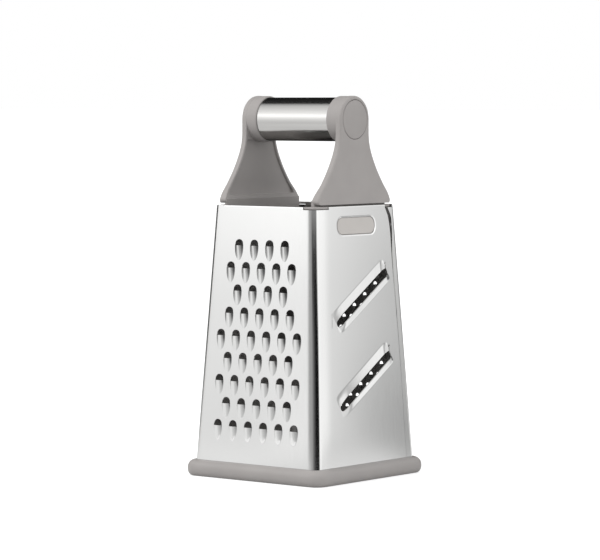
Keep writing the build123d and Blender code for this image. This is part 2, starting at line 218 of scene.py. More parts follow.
def outset(loop, distance):
    """A closed flat outline moved outwards, seen anticlockwise; a negative distance moves it in."""
    moved = []
    for index, (x, y) in enumerate(loop):
        before, after = loop[index - 1], loop[(index + 1) % len(loop)]
        first = Vector((y - before[1], before[0] - x)).normalized()
        second = Vector((after[1] - y, x - after[0])).normalized()
        mitre = (first + second) / max(1 + first.dot(second), 0.4)
        moved.append((x + mitre.x * distance, y + mitre.y * distance))
    return moved


def rounded_corners(corners, segments=6):
    """A closed anticlockwise outline from (x, y, radius) corners."""
    loop = []
    for index, (x, y, radius) in enumerate(corners):
        here = Vector((x, y))
        before = (Vector(corners[index - 1][:2]) - here).normalized()
        after = (Vector(corners[(index + 1) % len(corners)][:2]) - here).normalized()
        if radius == 0:
            loop.append((x, y))
            continue
        half = before.angle(after) / 2
        centre = here + (before + after).normalized() * (radius / math.sin(half))
        start = here + before * (radius / math.tan(half)) - centre
        turn = (math.pi - 2 * half) * (1 if before.cross(after) < 0 else -1)
        for step in range(segments + 1):
            spoke = start.copy()
            spoke.rotate(Matrix.Rotation(turn * step / segments, 2))
            loop.append(tuple(centre + spoke))
    return loop


def circle(x, y, radius, segments=64):
    """A closed anticlockwise circle."""
    angles = [2 * math.pi * step / segments for step in range(segments)]
    return [(x + radius * math.cos(a), y + radius * math.sin(a)) for a in angles]


def smooth_line(knots, count):
    """Points along a smooth curve through (place, value) knots, evenly spaced along the places."""
    found = []
    for step in range(count + 1):
        place = knots[0][0] + (knots[-1][0] - knots[0][0]) * step / count
        found.append((place, value_between(knots, place)))
    return found


def value_between(knots, place):
    """Value of a smooth curve through (place, value) knots."""
    rising = knots[-1][0] > knots[0][0]
    index = 0
    while index < len(knots) - 2 and (place > knots[index + 1][0]) == rising:
        index += 1
    (p1, v1), (p2, v2) = knots[index], knots[index + 1]
    p0, v0 = knots[index - 1] if index else (2 * p1 - p2, 2 * v1 - v2)
    p3, v3 = knots[index + 2] if index + 2 < len(knots) else (2 * p2 - p1, 2 * v2 - v1)
    t = min(max((place - p1) / (p2 - p1), 0.0), 1.0)
    slope1 = (v2 - v0) / (p2 - p0) * (p2 - p1)
    slope2 = (v3 - v1) / (p3 - p1) * (p2 - p1)
    return (
        (2 * t**3 - 3 * t**2 + 1) * v1
        + (t**3 - 2 * t**2 + t) * slope1
        + (3 * t**2 - 2 * t**3) * v2
        + (t**3 - t**2) * slope2
    )


class Skin:
    """Faces while they are put together; points that meet become one at the end."""

    def __init__(self):
        self.points = []
        self.faces = []

    def strip(self, rows, closed=False):
        """Four-sided faces between rows of points that follow each other."""
        start, width = len(self.points), len(rows[0])
        for row in rows:
            self.points.extend(Vector(point) for point in row)
        for row in range(len(rows) - 1):
            for column in range(width if closed else width - 1):
                a = start + row * width + column
                b = start + row * width + (column + 1) % width
                self.faces.append((a, b, b + width, a + width))

    def flat(self, place, outline, holes=()):
        """A flat face inside an outline, around its holes; place turns (x, y) into a point."""
        flat_points, loops = [], []
        for loop in [outline, *holes]:
            loops.append(list(range(len(flat_points), len(flat_points) + len(loop))))
            flat_points.extend(Vector(point[:2]) for point in loop)
        edges = [(loop[i - 1], loop[i]) for loop in loops for i in range(len(loop))]
        found, _, triangles, _, _, owners = delaunay_2d_cdt(flat_points, edges, loops, 1, 1e-7)
        start = len(self.points)
        self.points.extend(place(x, y) for x, y in found)
        for triangle, owner in zip(triangles, owners):
            if list(owner) == [0]:
                self.faces.append(tuple(start + corner for corner in triangle))

    def plate(self, place, loop, low, high, bevel, holes=()):
        """A flat plate with softened edges; place turns (x, y, n) into a point."""
        rows = [
            [place(x, y, high) for x, y in outset(loop, -bevel)],
            [place(x, y, high - bevel) for x, y in loop],
            [place(x, y, low + bevel) for x, y in loop],
            [place(x, y, low) for x, y in outset(loop, -bevel)],
        ]
        self.strip(rows, closed=True)
        self.flat(lambda x, y: place(x, y, high), outset(loop, -bevel), holes)
        self.flat(lambda x, y: place(x, y, low), outset(loop, -bevel), holes)
        for hole in holes:
            self.strip([[place(x, y, n) for x, y in hole] for n in (low, high)], closed=True)

    def joined(self):
        """The faces as one bmesh, all turned the same way."""
        work = bmesh.new()
        points = [work.verts.new(point) for point in self.points]
        for face in self.faces:
            work.faces.new([points[corner] for corner in face])
        bmesh.ops.remove_doubles(work, verts=work.verts, dist=4e-6)
        bmesh.ops.dissolve_degenerate(work, edges=work.edges, dist=1e-6)
        loose = [vert for vert in work.verts if not vert.link_faces]
        bmesh.ops.delete(work, geom=loose, context="VERTS")
        bmesh.ops.recalc_face_normals(work, faces=work.faces)
        work.normal_update()
        return work

    def solid(self, name, crisp=40):
        """The faces as a closed, smooth-shaded body; edges sharper than this angle stay crisp."""
        return finished(self.joined(), name, crisp)

    def sheet(self, name, thickness, crisp=62):
        """The faces as the outer side of a sheet, given its thickness inwards."""
        work = self.joined()

        def outwards(face):
            return face.normal.xy.dot(face.calc_center_median().xy)

        if sum(outwards(face) * face.calc_area() for face in work.faces) < 0:
            bmesh.ops.reverse_faces(work, faces=work.faces)
        work.normal_update()
        outer, faces = list(work.verts), list(work.faces)
        for face in faces:  # painted shade: what is folded in takes the darker inner-side material, though the fold shows the sheet's outer side
            face.material_index = int(outwards(face) < 0)
        rims = [edge.link_loops[0] for edge in work.edges if edge.is_boundary]
        rims = [(loop.vert, loop.link_loop_next.vert) for loop in rims]
        inner = {vert: work.verts.new(vert.co - vert.normal * thickness) for vert in outer}
        for face in faces:
            work.faces.new([inner[vert] for vert in reversed(face.verts)]).material_index = 1
        for a, b in rims:
            work.faces.new((b, a, inner[a], inner[b]))
        return finished(work, name, crisp)


def finished(work, name, crisp):
    """A bmesh as a mesh with smooth faces and crisp edges."""
    work.normal_update()
    for face in work.faces:
        face.smooth = True
    for edge in work.edges:
        if len(edge.link_faces) == 2:
            edge.smooth = edge.calc_face_angle() < math.radians(crisp)
    mesh = bpy.data.meshes.new(name)
    work.to_mesh(mesh)
    work.free()
    return mesh


def add_piece(name, mesh, material, slot, *nodes):
    """A finished piece in place of its CAD nodes; a sheet has two materials, outer and inner."""
    for each in material if isinstance(material, tuple) else (material,):
        mesh.materials.append(each)
    piece = bpy.data.objects.new(name, mesh)
    bpy.context.scene.collection.objects.link(piece)
    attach(piece, "root")
    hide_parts(*nodes)


# ---------------------------------------------------------------- steel sheets


def taper(body):
    """Lean of the walls."""
    return math.atan2((body.foot_width - body.top_width) / 2, body.top_height - body.foot_height)


def half_width(body, height):
    """Half the body's outer width at a height."""
    return body.foot_width / 2 - (height - body.foot_height) * math.tan(taper(body))


def wall_place(body, turn):
    """Turns (level, up the slope, outwards) on a wall into a point; turn 0 is the front wall."""
    lean = taper(body)
    ground = half_width(body, 0)
    spin = Matrix.Rotation(math.radians(turn), 3, "Z")

    def place(u, v, n=0.0):
        along = -ground + v * math.sin(lean) - n * math.cos(lean)
        return spin @ Vector((u, along, v * math.cos(lean) + n * math.sin(lean)))

    return place


def seam_place(body, height):
    """Place of the seam's middle along its wall, and half the opening there."""
    # both curves run through (height, value) in millimetres
    width = value_between(
        [(3, 8.2), (30, 7.9), (60, 7.0), (90, 6.7), (118, 6.9), (135, 6.7), (151, 5.9), (155, 5.85)]
        + [(159, 6.15), (161.5, 6.6), (164, 7.8), (166.4, 8.9)],
        height / MM,
    )
    opening = value_between(
        [(3, 0.1), (75, 0.1), (95, 0.22), (108, 0.38), (125, 0.5), (140, 0.62), (150, 0.95)]
        + [(155, 1.25), (160, 1.5), (166.4, 1.4)],
        height / MM,
    )
    return half_width(body, height) - width * MM, opening * MM


def tooth(skin, place, u, v, sizes, columns, rows):
    """One pressed scoop under its arched mouth; gives back the outline that it takes."""
    width, rise, mouth, whole = sizes
    half = width / 2
    arch_half, arch_height = half * 0.955, mouth * 0.66
    margin = 0.05  # keeps the first and last columns from crowding at the flanks
    right, left, grid = [], [], []
    for row in range(rows + 1):
        t = math.sin(math.pi / 2 * row / rows)  # 0 at the lip, 1 at the tip
        y = -mouth - t * (whole - mouth)
        w = half * max(1 - t**2.5, 0.0) ** 0.62
        crest = rise * (1 - t) ** 0.85 * (1 - 0.12 * t)
        line = []
        for column in range(columns + 1):
            turn = math.pi * (column / columns * (1 - 2 * margin) + margin)
            s = -math.cos(turn) / math.cos(math.pi * margin)
            line.append(place(u + w * s, v + y, crest * (1 - abs(s) ** 2.5) * (1 - 0.15 * s * s)))
        grid.append(line)
        left.append((u - w, v + y))
        right.append((u + w, v + y))
    skin.strip(grid)
    arch = []
    for step in range(columns + 1):
        a = math.pi * step / columns
        arch.append((u + arch_half * math.cos(a), v - arch_height + arch_height * math.sin(a)))
    outline = left[:-1] + right[::-1] + arch
    border = outset(outline, 0.3 * MM)
    skin.strip([[place(x, y) for x, y in loop] for loop in (border, outline)], closed=True)
    return border


def crater(skin, place, u, v, teeth, chance):
    """One three-sided crater with a torn burr; gives back the outline that it takes."""
    rows = []
    corners = (math.pi / 2, math.pi * 7 / 6, -math.pi / 6)
    radii = (teeth.rasp_base, teeth.rasp_base * 0.82, teeth.rasp_base * 0.66, teeth.rasp_hole)
    for share_up, radius in zip((0.0, 0.3, 0.68, 1.0), radii):
        spots = [(2 * radius * math.cos(a), 2 * radius * math.sin(a)) for a in corners]
        loop = rounded_corners([(u + x, v + y, 0.42 * radius) for x, y in spots], 4)
        rows.append((loop, share_up))
    border = outset(rows[0][0], 0.25 * MM)
    lines = [[place(x, y) for x, y in border]]
    for loop, share_up in rows:
        torn = 0.14 if share_up == 1.0 else 0.0  # the burr's edge is ragged, its flank smooth
        line = []
        for x, y in loop:
            line.append(place(x, y, teeth.rasp_rise * (share_up + chance.uniform(-torn, torn))))
        lines.append(line)
    skin.strip(lines, closed=True)
    return border


def slot(skin, place, u, v, teeth):
    """One slanting slot between its sunk ramp and raised lip; gives back the outline it takes."""
    gap, long = teeth.slot_gap / 2, teeth.slot_length / 2
    low, high = -gap - teeth.lip_width, gap + teeth.ramp_width
    middle, half = (low + high) / 2, (high - low) / 2
    runout = 0.0048  # how far the pressed strip goes on past each end of the opening
    straight = long + runout - half
    along, round_end = 44, 13  # steps along each side and round each end
    spin = Matrix.Rotation(teeth.slot_angle, 2)
    outer, inner, heights = [], [], []

    # half the angle of the strip's round ends
    end = math.atan2(math.sqrt(max(half**2 - (long - straight) ** 2, 0)), long - straight)
    # relief slit that stands upright on the opening's upper right corner: (across, up) from there
    up = Vector((math.sin(teeth.slot_angle), math.cos(teeth.slot_angle)))
    across = Vector((up.y, -up.x))
    corner = Vector((long, gap))
    slit = [(0.00022, 0.0003), (0.00022, 0.0024), (0.0005, 0.0028), (0.0005, 0.0034), (0.0, 0.0038)]
    slit += [(-x, y) for x, y in reversed(slit[:4])]
    slit = [tuple(corner + across * x + up * y) for x, y in slit]
    slit = [(long, -0.6 * gap), (long + 0.0004, 0.0), (long + 0.0003, 0.7 * gap)] + slit

    for sign in (1, -1):
        for step in range(along + 1):
            x = long * (math.cos(math.pi * step / along) * sign)
            over = abs(x) - straight
            y = sign * half if over <= 0 else sign * math.sqrt(max(half**2 - over**2, 0))
            if x > 0:  # the right end is steep, the left one runs out slowly
                reach, power = 0.0042, 0.7
            else:
                reach, power = 0.013 if sign > 0 else 0.01, 1.0
            fade = math.sin(max(min((long - abs(x)) / reach, 1.0), 0.0) * math.pi / 2) ** power
            tip = min((long + x) / 0.0021, 1.0)  # the opening's left end is round
            tip = math.sqrt(max(1 - (1 - tip) ** 2, 0))
            outer.append((x, middle + y))
            inner.append((x, sign * gap * tip))
            heights.append((-teeth.ramp_depth if sign > 0 else teeth.lip_rise) * fade)
        for step in range(1, round_end):
            a = end - 2 * end * step / round_end
            a = -a if sign < 0 else math.pi - a
            outer.append((-sign * straight + half * math.cos(a), middle + half * math.sin(a)))
            inner.append((-long, 0.0) if sign > 0 else slit[step - 1])
            heights.append(0.0)
    lines = []
    border = None
    foot = 0.12  # share of the slope over which it curves out of the wall
    for share_in in (-0.06, 0.0, 0.03, 0.07, foot, 0.2, 0.45, 0.72, 1.0):
        line = []
        for (x1, y1), (x2, y2), height in zip(outer, inner, heights):
            spot = Vector((x1 + (x2 - x1) * share_in, y1 + (y2 - y1) * share_in))
            slope = share_in**2 / (2 * foot) if share_in < foot else share_in - foot / 2
            n = height * slope / (1 - foot / 2) if share_in > 0 else 0.0
            spot.rotate(spin)
            line.append((u + spot.x, v + spot.y, n))
        border = border or [(x, y) for x, y, _ in line]
        lines.append([place(*point) for point in line])
    skin.strip(lines, closed=True)
    return border


def window(skin, place, v, body):
    """Window for a snap tab, its edge drawn slightly in; gives back the outline that it takes."""
    x, y, r = body.window_length / 2, body.window_height / 2, body.window_corner
    hole = rounded_corners([(-x, v - y, r), (x, v - y, r), (x, v + y, r), (-x, v + y, r)], 10)
    # (distance from the hole, height over the wall)
    rows = [(0.0013, 0.0), (0.001, 0.0), (0.0006, -0.00004), (0.0003, -0.00014), (0.0, -0.0003)]
    loops = [(outset(hole, wide), n) for wide, n in rows]
    skin.strip([[place(px, py, n) for px, py in loop] for loop, n in loops], closed=True)
    return loops[0][0]


def bend_section(radius, before, after):
    """Points across a bend; before and after are the (length, turn) of the walls' ease into it."""
    easing_in, bending, easing_out = 6, 18, 8  # steps of each part
    turns, runs = [0.0], []
    for step in range(easing_in if before[0] else 0):
        turns.append(before[1] * ((step + 1) / easing_in) ** 2)
        runs.append(before[0] / easing_in)
    start = turns[-1]
    whole = math.pi / 2 - start - after[1]
    for step in range(bending):
        turns.append(start + whole * (step + 1) / bending)
        runs.append(radius * whole / bending)
    for step in range(easing_out):
        turns.append(math.pi / 2 - after[1] * ((easing_out - 1 - step) / easing_out) ** 2)
        runs.append(after[0] / easing_out)
    section = [Vector((0.0, 0.0))]
    for index, run in enumerate(runs):
        lie = (turns[index] + turns[index + 1]) / 2
        section.append(section[-1] + Vector((math.cos(lie), math.sin(lie))) * run)
    return section


def pressed_sheet(body, turn, first_features, second_features):
    """Flange, bend, wall, bend and wall of one sheet; the features press into the walls."""
    skin = Skin()
    lean = taper(body)
    slope = 1 / math.cos(lean)
    top, notched = body.top_height, body.top_height - body.notch
    guard = 0.0004  # flat strip beside each bend and notch
    marks = [3.0, 9.0, 30.0, 60.0, 90.0, 110.0, 120.0, 130.0, 138.0, 144.0, 148.0, 151.0, 153.0]
    marks += [155.0, 157.0, 159.0, 160.3, 161.5, 162.6, 163.6, 164.6, 165.5]
    heights = [mark * MM for mark in marks if mark * MM < notched] + [notched]
    walls = [wall_place(body, turn + 90 * step) for step in (-1, 0, 1)]

    ease, crown = (body.ease, body.ease_turn), (body.crown, body.crown_turn)
    seam_bend = bend_section(body.bend, (0, 0), ease)

    def section_at(first, height):
        """Section of a bend; the bend inside the sheet opens up towards the foot."""
        if first < 0:
            return seam_bend
        down = (top - height) / (top - body.foot_height)
        radius = body.wide_bend + (body.wide_bend_at_foot - body.wide_bend) * down
        return bend_section(radius, ease, crown)

    def bent(first, heights_round):
        """Points round a bend between two walls' flats, at one height or at one for each point."""
        spin = Matrix.Rotation(math.radians(turn + 90 * first), 3, "Z")
        level = isinstance(heights_round, float)
        section = section_at(first, heights_round) if level else seam_bend
        spots = [section[0] - Vector((guard, 0)), *section, section[-1] + Vector((0, guard))]
        if level:
            heights_round = [heights_round] * len(spots)
        row = []
        for spot, height in zip(spots, heights_round):
            half = half_width(body, height)
            row.append(spin @ Vector((half - section[-1].x + spot.x, spot.y - half, height)))
        return row

    # flange and its bend, which ends in a rounded corner beside the notch
    flange = []
    for height in heights:
        seam, opening = seam_place(body, height)
        row = [walls[0](seam + opening, height * slope)]
        bend_line = half_width(body, height) - seam_bend[-1].x - guard
        row.append(walls[0]((seam + opening + bend_line) / 2, height * slope))
        flange.append(row + bent(-1, height))
    skin.strip(flange)
    crest, low_steps, round_steps = top - 0.0001, 7, 9
    parts = [(step - low_steps) / round_steps for step in range(len(seam_bend) + 2)]
    parts = [min(max(part, 0.0), 1.0) for part in parts]
    rounded = [notched + (crest - notched) * math.sin(math.pi / 2 * part) for part in parts]
    skin.strip([bent(-1, notched), bent(-1, rounded)])
    skin.strip([bent(0, height) for height in heights])

    # the two walls, each with its hem, its outline and what is pressed into it
    fold = body.sheet * 1.08
    hem_top = top * slope - fold
    inset = 0.012  # from a hem's ends to its first inner points
    pair = (  # the second wall has no notch on its right: it ends at the seam
        (seam_bend[-1].y + 2 * guard, body.notch_on_cutting_wall, first_features),
        (body.notch_on_handle_wall, None, second_features),
    )
    for index, (left_notch, right_notch, features) in enumerate(pair):
        place = walls[index + 1]
        half_top = half_width(body, top)
        left = -half_top + left_notch
        if right_notch is None:
            seam, opening = seam_place(body, notched)
            right = seam - opening
        else:
            right = half_top - right_notch
        across = [left, left + guard, left + inset, right - inset, right - guard, right]
        rows = [[place(u, hem_top - guard) for u in across]]
        for step in range(9):
            a = math.pi * step / 8
            v, n = hem_top + fold * math.sin(a), -fold + fold * math.cos(a)
            rows.append([place(u, v, n) for u in across])
        rows.append([place(u, top * slope - body.hem, -2 * fold) for u in across])
        skin.strip(rows)
        first_up = heights if index else [*heights, crest]
        outline = []
        for height in reversed(first_up):
            away = section_at(index - 1, height)[-1].y + guard
            outline.append((-half_width(body, height) + away, height * slope))
        if right_notch is None:
            for height in heights:
                seam, opening = seam_place(body, height)
                outline.append((seam - opening, height * slope))
        else:
            for height in heights:
                away = section_at(0, height)[-1].x + guard
                outline.append((half_width(body, height) - away, height * slope))
            outline.append((right, notched * slope))
        outline += [(u, hem_top - guard) for u in reversed(across)]
        if index:
            outline.append((left, notched * slope))
        holes = features(skin, place)
        skin.flat(place, outline, holes)
        if right_notch is None:  # the lap behind the seam, from the ring up to where it opens
            lap, lap_depth = [], 0.00066
            for height in (h for h in heights if 0.012 < h < 0.15):
                seam, _ = seam_place(body, height)
                edges = (seam - 0.0012, seam + 0.0024)
                lap.append([place(edge, height * slope, -lap_depth) for edge in edges])
            skin.strip(lap)
    return skin


def coarse_features(body, teeth):
    """Rows of coarse scoops, set as on the front wall."""
    counts = (4, 5, 4, 5, 6, 5, 6, 5, 6)
    top_margin, shift_left = 20.8 * MM, 0.85 * MM
    slope = 1 / math.cos(taper(body))
    first = (body.top_height - top_margin) * slope
    sizes = (teeth.coarse_width, teeth.coarse_rise, teeth.coarse_mouth, teeth.coarse_length)

    def press(skin, place):
        holes = []
        for row, count in enumerate(counts):
            v = first - row * teeth.coarse_row_pitch
            for index in range(count):
                u = (index - (count - 1) / 2) * teeth.coarse_pitch - shift_left
                holes.append(tooth(skin, place, u, v, sizes, 12, 9))
        return holes

    return press


def staggered(body, top_margin, foot_margin, side_margin, row_pitch, pitch):
    """Places of a field of points, every second row moved half a pitch; margins in millimetres."""
    slope = 1 / math.cos(taper(body))
    high = (body.top_height - top_margin * MM) * slope
    places = []
    row = 0
    while high - row * row_pitch >= foot_margin * MM:
        v = high - row * row_pitch
        room = half_width(body, v / slope) - body.bend - side_margin * MM
        shift = row % 2 / 2
        count = int(room / pitch) + 1
        for index in range(-count, count + 1):
            u = (index + shift) * pitch
            if abs(u) <= room:
                places.append((u, v))
        row += 1
    return places


def fine_features(body, teeth):
    """The field of fine scoops on the back wall."""
    sizes = (teeth.fine_width, teeth.fine_rise, teeth.fine_mouth, teeth.fine_length)

    def press(skin, place):
        spots = staggered(body, 20.3, 33.0, 9.5, teeth.fine_row_pitch, teeth.fine_pitch)
        return [tooth(skin, place, u, v, sizes, 8, 5) for u, v in spots]

    return press


def window_height(body):
    """Place of a window's middle up its wall."""
    return (body.top_height - body.window_drop) / math.cos(taper(body))


def rasp_features(body, teeth):
    """The window and the field of craters on the left wall."""

    def press(skin, place):
        chance = random.Random(7)
        spots = staggered(body, 31.3, 31.0, 8.5, teeth.rasp_row_pitch, teeth.rasp_pitch)
        left, down = 1.2 * MM, 0.5 * MM
        holes = [crater(skin, place, u - left, v - down, teeth, chance) for u, v in spots]
        return [*holes, window(skin, place, window_height(body), body)]

    return press


def slicing_features(body, teeth):
    """The window and the two slanting slots on the right wall."""
    slope = 1 / math.cos(taper(body))
    shift_right, top_margin = 2.6 * MM, 56.9 * MM

    def press(skin, place):
        holes = [window(skin, place, window_height(body), body)]
        for index in range(2):
            v = (body.top_height - top_margin - index * teeth.slot_spacing) * slope
            holes.append(slot(skin, place, shift_right, v, teeth))
        return holes

    return press


# ---------------------------------------------------------------- plastic and tube


def ring_skin(body, handle):
    """Bull-nosed ring with the groove that the steel's foot stands in."""
    half = body.foot_width / 2
    outer, high = half + handle.ring_overhang, handle.ring_height
    profile = []
    # upper and lower quarter of the bull nose: (middle height, depth, height, first angle)
    quarters = ((0.5, 0.48, 0.5, 90), (0.42, 0.3, 0.42, 0))
    for middle, deep, tall, start in quarters:
        middle, deep, tall = middle * high, deep * high, tall * high
        for step in range(8):
            a = math.radians(start - 90 * step / 7)
            profile.append((outer - deep * (1 - math.cos(a)), middle + tall * math.sin(a)))
    inner, soft = half - handle.ring_ledge, 0.0012
    for step in range(5):
        a = math.pi / 2 * step / 4
        profile.append((inner + soft * (1 - math.sin(a)), soft * (1 - math.cos(a))))
    for step in range(5):
        a = math.pi / 2 * step / 4
        profile.append((inner + soft * (1 - math.cos(a)), high - soft + soft * math.sin(a)))
    clear, edge = 0.0002, 0.0004
    floor, inside = body.foot_height - clear, -body.sheet - clear
    walls = [(inside, high), (inside, floor), (clear, floor), (clear, high - edge)]
    groove = [(half_width(body, z) + away, z) for away, z in walls]
    groove.append((half_width(body, high) + clear + edge, high))
    rows = []
    for width, z in profile + groove:
        radius = handle.ring_corner + width - outer
        radius = max(radius, 0.0041 if (width, z) in groove else 0.003)
        corners = [(width, -width), (width, width), (-width, width), (-width, -width)]
        loop = rounded_corners([(x, y, radius) for x, y in corners], 14)
        rows.append([Vector((x, y, z)) for x, y in loop])
    skin = Skin()
    skin.strip(rows + rows[:1], closed=True)
    return skin


def turned(skin, profile, height, segments=96):
    """A body turned about the tube's axis from an (along X, radius) profile."""
    angles = [2 * math.pi * step / segments for step in range(segments)]
    rows = []
    for x, radius in profile:
        ring = [(radius * math.sin(a), height + radius * math.cos(a)) for a in angles]
        rows.append([Vector((x, y, z)) for y, z in ring])
    skin.strip(rows, closed=True)


def flank_loop(body, handle):
    """Outline of a bracket seen from its face: anticlockwise (y, z) from the foot's right corner."""
    top = body.top_height
    axis = top + handle.axis_rise
    radius = handle.boss_diameter / 2
    foot = top + handle.foot_gap
    # the flank's curve through (height over the body, half width) in millimetres
    knots = [(3.4, 36.3), (6.5, 34.6), (8.7, 33.0), (12.6, 29.6), (17.7, 25.7), (22.7, 22.3)]
    knots += [(27.7, 19.4), (32.7, 17.0), (37.7, 15.3), (42.7, 14.6), (46.7, 14.5)]
    right = [(half * MM, top + rise * MM) for rise, half in smooth_line(knots, 36)]
    foot_corner = (right[0][0], foot, 0.0021)
    side = rounded_corners([foot_corner, (*right[0], 0), (0, foot, 0)], 5)[:6] + right
    turns = [math.pi * step / 40 for step in range(41)]
    arc = [(radius * math.cos(turn), axis + radius * math.sin(turn)) for turn in turns]
    return side + arc + [(-y, z) for y, z in reversed(side)]


def clipped(loop, low, high):
    """The part of a closed outline between two levels."""
    for level, way in ((low, 1), (high, -1)):
        kept = []
        for index, (x, y) in enumerate(loop):
            px, py = loop[index - 1]
            if (way * py < way * level) != (way * y < way * level):
                cut = (level - py) / (y - py)
                kept.append((px + (x - px) * cut, level))
            if way * y >= way * level:
                kept.append((x, y))
        loop = kept
    return loop


def bracket_skin(body, handle):
    """Right-hand bracket: rounded tray, boss, collar in the notches, skirt and tongue."""
    skin = Skin()
    top = body.top_height
    axis = top + handle.axis_rise
    foot = top + handle.foot_gap
    face = body.top_width / 2 - handle.face_setback
    loop = flank_loop(body, handle)

    def back(z, lift=0.0):
        """Place of the bracket's inner side, which flares towards the foot."""
        flare = max(1 - (z - foot) / 0.0125, 0.0) ** 1.5
        extra = (handle.depth_at_foot - handle.depth_at_boss) * flare
        return face - handle.depth_at_boss - extra + lift

    def narrowed(distance):
        """The outline moved in, but for its foot, which stays straight down."""
        ring, blend = [], 0.005
        for (y, z), (_, start) in zip(outset(loop, -distance), loop):
            ring.append((y, z - distance * min(max((foot + blend - start) / blend, 0.0), 1.0)))
        return ring

    # face, rounded edge and outer side
    big, small = handle.edge_round, 0.0004
    rows = []
    for step in range(7):
        a = math.pi / 2 * (1 - step / 6)
        ring = narrowed(big * (1 - math.cos(a)))
        rows.append([Vector((face - big + big * math.sin(a), y, z)) for y, z in ring])
    rows.append([Vector((back(z, small), y, z)) for y, z in loop])
    rim_loop = outset(loop, -small)
    rows.append([Vector((back(z), y, z)) for y, z in rim_loop])
    skin.strip(rows, closed=True)
    seat, break_edge = handle.cap_diameter / 2 + 0.0002, 0.00035
    wide_seat, seat_loop = [circle(0, axis, seat + wide, 72) for wide in (break_edge, 0.0)]
    skin.flat(lambda y, z: Vector((face, y, z)), narrowed(big), [wide_seat])
    rows = [[Vector((face, y, z)) for y, z in wide_seat]]
    rows.append([Vector((face - break_edge, y, z)) for y, z in seat_loop])
    rows.append([Vector((back(z), y, z)) for y, z in seat_loop])
    skin.strip(rows, closed=True)

    # hollow inner side
    shelf, near = foot + handle.ledge, 0.00001
    hollow = clipped(outset(loop, -handle.rim), shelf, axis - seat - 0.0008)
    hollow = [(y, z) for y, z in hollow if z > shelf + 0.0031 or z < shelf + near]
    hollow = rounded_corners([(y, z, 0.0014 if z < shelf + near else 0) for y, z in hollow])
    soft = outset(hollow, small)
    skin.flat(lambda y, z: Vector((back(z), y, z)), rim_loop, [soft, seat_loop])
    floor, fillet = face - handle.web, 0.0006
    rows = [[Vector((back(z), y, z)) for y, z in soft]]
    rows.append([Vector((back(z, small), y, z)) for y, z in hollow])
    for step in range(5):
        a = math.pi / 2 * step / 4
        ring = outset(hollow, -fillet * (1 - math.cos(a)))
        rows.append([Vector((floor - fillet + fillet * math.sin(a), y, z)) for y, z in ring])
    skin.strip(rows, closed=True)
    skin.flat(lambda y, z: Vector((floor, y, z)), outset(hollow, -fillet))

    # boss: the screw's hole, the cap's seat, the outer side with its rounded end, the tube's socket
    radius, inner = handle.boss_diameter / 2 - 0.0001, face - handle.boss_depth
    bore, socket = handle.tube_diameter / 2 + 0.0001, inner + 0.0052
    under_cap, screw_hole, under_face = face - 0.0047, 0.00225, face - 0.001
    profile = [(socket, screw_hole), (under_cap, screw_hole), (under_cap, seat + near)]
    profile += [(under_face, seat + near), (under_face, radius), (inner + 0.0009, radius)]
    profile += [(inner + 0.0004, radius - 0.00015), (inner + 0.00012, radius - 0.0004)]
    profile += [(inner, radius - 0.0007), (inner, bore), (socket, bore), (socket, screw_hole)]
    turned(skin, profile, axis)

    # collar that fills the corner notches, set back from the steel's outer side
    setback, fit, bevel = 0.00035, 0.0001, 0.0002
    low = top - body.notch + setback
    edge = half_width(body, low + 0.00075) - setback
    across = half_width(body, top)
    inside = across - 2 * body.sheet - 0.0003
    start = -across + body.notch_on_handle_wall - fit
    left = across - body.notch_on_cutting_wall + fit
    inner_line, far_end = across - 0.006, across - body.bend
    corners = [
        (left, -edge, 0.0003),
        (edge, -edge, body.bend - setback),
        (edge, start, 0.0002),
        (inside, start, 0),
        (inside, far_end, 0.0002),
        (inner_line, far_end, 0.0005),
        (inner_line, -inside, 0),
        (left, -inside, 0.0002),
    ]

    def as_it_is(x, y, z):
        return Vector((x, y, z))

    skin.plate(as_it_is, rounded_corners(corners, 8), low, low + 0.0015, bevel)

    # skirt that stands in the body's top, and the tongue that springs behind the window
    out, far, end = back(foot) + fit, inside - 0.0025, loop[6][0] - fit
    skirt = [(out, -end), (far, -end), (far, end - 0.001), (out, end - 0.001)]
    skirt = rounded_corners([(x, y, 0.0006) for x, y in skirt])
    skin.plate(as_it_is, skirt, low - 0.0025, foot + 0.0027, bevel)
    slope = 1 / math.cos(taper(body))
    wide, low, high = 0.03, (top - 0.0213) * slope, (top - 0.0012) * slope
    tongue = [(-wide, low, 0.004), (wide, low, 0.004), (wide, high, 0), (-wide, high, 0)]
    tongue = rounded_corners(tongue)
    behind = -2 * body.sheet - 0.0003
    skin.plate(wall_place(body, 90), tongue, behind - 0.0028, behind, bevel)
    return skin


def tab_skin(body):
    """Face of the snap tab in the right-hand window."""
    skin = Skin()
    play = 0.0002
    x, y = body.window_length / 2 - play, body.window_height / 2 - play
    v, r = window_height(body), body.window_corner - play
    tab = rounded_corners([(-x, v - y, r), (x, v - y, r), (x, v + y, r), (-x, v + y, r)], 10)
    skin.plate(wall_place(body, 90), tab, -2 * body.sheet - 0.0004, -0.00025, 0.0003)
    return skin


def mirrored(skin):
    """The same piece turned half round for the other side."""
    other = Skin()
    other.points = [Vector((-p.x, -p.y, p.z)) for p in skin.points]
    other.faces = list(skin.faces)
    return other


def tube_skin(body, handle):
    """Handle tube with softly broken ends."""
    skin = Skin()
    outer = handle.tube_diameter / 2
    inner = outer - handle.tube_wall
    half = body.top_width / 2 - handle.face_setback - handle.boss_depth + 0.0039
    profile = [(-half, inner), (-half, outer - 0.0001), (-half + 0.0001, outer)]
    profile += [(half - 0.0001, outer), (half, outer - 0.0001), (half, inner), (-half, inner)]
    turned(skin, profile, body.top_height + handle.axis_rise, 160)
    return skin


